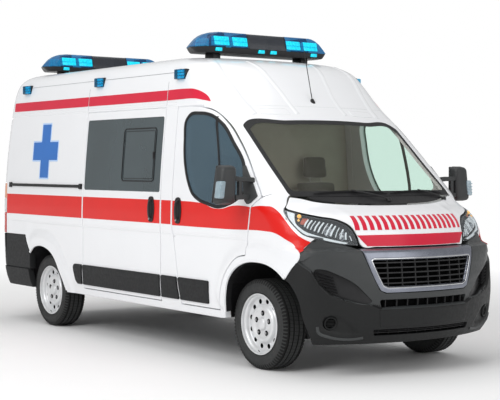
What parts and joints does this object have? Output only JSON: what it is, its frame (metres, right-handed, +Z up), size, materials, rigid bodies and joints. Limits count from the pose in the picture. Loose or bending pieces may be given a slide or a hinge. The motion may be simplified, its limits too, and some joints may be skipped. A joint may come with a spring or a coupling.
{
  "type": "high-roof ambulance van",
  "caption": "High-roof panel van ambulance with hinged cab and rear doors, steered front wheels, bonnet, roof light bars and fixed sliding side door.",
  "frame": {"origin": "on the ground, under the middle of the vehicle's box", "axes": "+Z up, -Y towards the front, +X towards the vehicle's left side"},
  "size_m": [2.69, 5.413, 2.743],
  "materials": {
    "white_paint": "gloss",
    "dark_plastic": "matte",
    "black_plastic": "matte",
    "satin_metal": "satin",
    "lamp_lens": "clear",
    "red_lens": "gloss",
    "blue_lens": "clear",
    "window_glass": "clear",
    "dark_glass": "clear",
    "cab_trim": "matte",
    "seat_fabric": "matte",
    "floor_vinyl": "matte",
    "chassis_steel": "satin",
    "cast_metal": "rough",
    "wheel_steel": "satin",
    "tyre": "matte"
  },
  "bodies": {
    "van": {"roof": "white_paint", "side_wall_right": "white_paint", "side_wall_left": "white_paint", "tail_lamps": "red_lens", "side_window_left": "dark_glass", "sliding_door": "white_paint", "sliding_door_glass": "dark_glass", "fenders": "white_paint", "headlamps": "lamp_lens", "front_bumper": "dark_plastic", "grille_frame": "satin_metal", "grille": "black_plastic", "scuttle": "black_plastic", "windscreen_frame": "white_paint", "windscreen": "window_glass", "rear_bumper": "dark_plastic", "floor": "floor_vinyl", "wheel_liners": "black_plastic", "chassis": "chassis_steel", "front_subframe": "chassis_steel", "engine": "cast_metal", "rear_axle": "chassis_steel", "dashboard": "cab_trim", "firewall": "chassis_steel", "bulkhead": "cab_trim", "seats": "seat_fabric", "steering_column": "cab_trim", "side_trim": "dark_plastic", "light_bar_trays": "dark_plastic", "light_bar_lenses": "blue_lens", "side_lamps": "blue_lens", "rear_hinges": "white_paint", "antenna": "black_plastic", "wipers": "black_plastic"},
    "cab_door_right": {"cab_door_right": "white_paint", "cab_door_glass_right": "window_glass", "cab_door_trim_right": "dark_plastic", "mirror_right": "dark_plastic"},
    "cab_door_left": {"cab_door_left": "white_paint", "cab_door_glass_left": "window_glass", "cab_door_trim_left": "dark_plastic", "mirror_left": "dark_plastic"},
    "rear_door_right": {"rear_door_right": "white_paint", "rear_door_glass_right": "dark_glass"},
    "rear_door_left": {"rear_door_left": "white_paint", "rear_door_glass_left": "dark_glass"},
    "bonnet": {"bonnet": "white_paint"},
    "steering_wheel": {"steering_wheel": "cab_trim"},
    "knuckle_left": {"knuckle_left": "cast_metal"},
    "knuckle_right": {"knuckle_right": "cast_metal"},
    "wheel_front_left": {"tyre_front_left": "tyre", "rim_front_left": "wheel_steel"},
    "wheel_front_right": {"tyre_front_right": "tyre", "rim_front_right": "wheel_steel"},
    "wheel_rear_left": {"tyre_rear_left": "tyre", "rim_rear_left": "wheel_steel"},
    "wheel_rear_right": {"tyre_rear_right": "tyre", "rim_rear_right": "wheel_steel"}
  },
  "joints": [
    {"name": "cab_door_right_hinge", "type": "hinge", "parent": "van", "child": "cab_door_right", "pos_m": [-1.015, -1.8015, 1.2], "axis": [0, 0, 1], "range_deg": [0, 68]},
    {"name": "cab_door_left_hinge", "type": "hinge", "parent": "van", "child": "cab_door_left", "pos_m": [1.015, -1.8015, 1.2], "axis": [0, 0, -1], "range_deg": [0, 68]},
    {"name": "rear_door_right_hinge", "type": "hinge", "parent": "van", "child": "rear_door_right", "pos_m": [-0.838, 2.7005, 1.4], "axis": [0, 0, 1], "range_deg": [0, 180]},
    {"name": "rear_door_left_hinge", "type": "hinge", "parent": "van", "child": "rear_door_left", "pos_m": [0.838, 2.7005, 1.4], "axis": [0, 0, -1], "range_deg": [0, 180]},
    {"name": "bonnet_hinge", "type": "hinge", "parent": "van", "child": "bonnet", "pos_m": [0, -2.0245, 1.368], "axis": [-1, 0, 0], "range_deg": [0, 60]},
    {"name": "steer_left", "type": "hinge", "parent": "van", "child": "knuckle_left", "pos_m": [0.83, -1.7765, 0.352], "axis": [0, 0, 1], "range_deg": [-32, 32]},
    {"name": "steer_right", "type": "hinge", "parent": "van", "child": "knuckle_right", "pos_m": [-0.83, -1.7765, 0.352], "axis": [0, 0, 1], "range_deg": [-32, 32]},
    {"name": "steering_wheel_turn", "type": "hinge", "parent": "van", "child": "steering_wheel", "pos_m": [0.48, -1.4665, 1.19], "axis": [0, 0.6157, 0.788], "range_deg": [-500, 500]},
    {"name": "wheel_front_left_spin", "type": "hinge", "parent": "knuckle_left", "child": "wheel_front_left", "pos_m": [0.83, -1.7765, 0.352], "axis": [1, 0, 0], "continuous": true},
    {"name": "wheel_front_right_spin", "type": "hinge", "parent": "knuckle_right", "child": "wheel_front_right", "pos_m": [-0.83, -1.7765, 0.352], "axis": [1, 0, 0], "continuous": true},
    {"name": "wheel_rear_left_spin", "type": "hinge", "parent": "van", "child": "wheel_rear_left", "pos_m": [0.875, 1.6735, 0.352], "axis": [1, 0, 0], "continuous": true},
    {"name": "wheel_rear_right_spin", "type": "hinge", "parent": "van", "child": "wheel_rear_right", "pos_m": [-0.875, 1.6735, 0.352], "axis": [1, 0, 0], "continuous": true}
  ],
  "couplings": [
    {"joint": "steer_right", "follows": "steer_left", "ratio": 1},
    {"joint": "steering_wheel_turn", "follows": "steer_left", "ratio": 15}
  ]
}
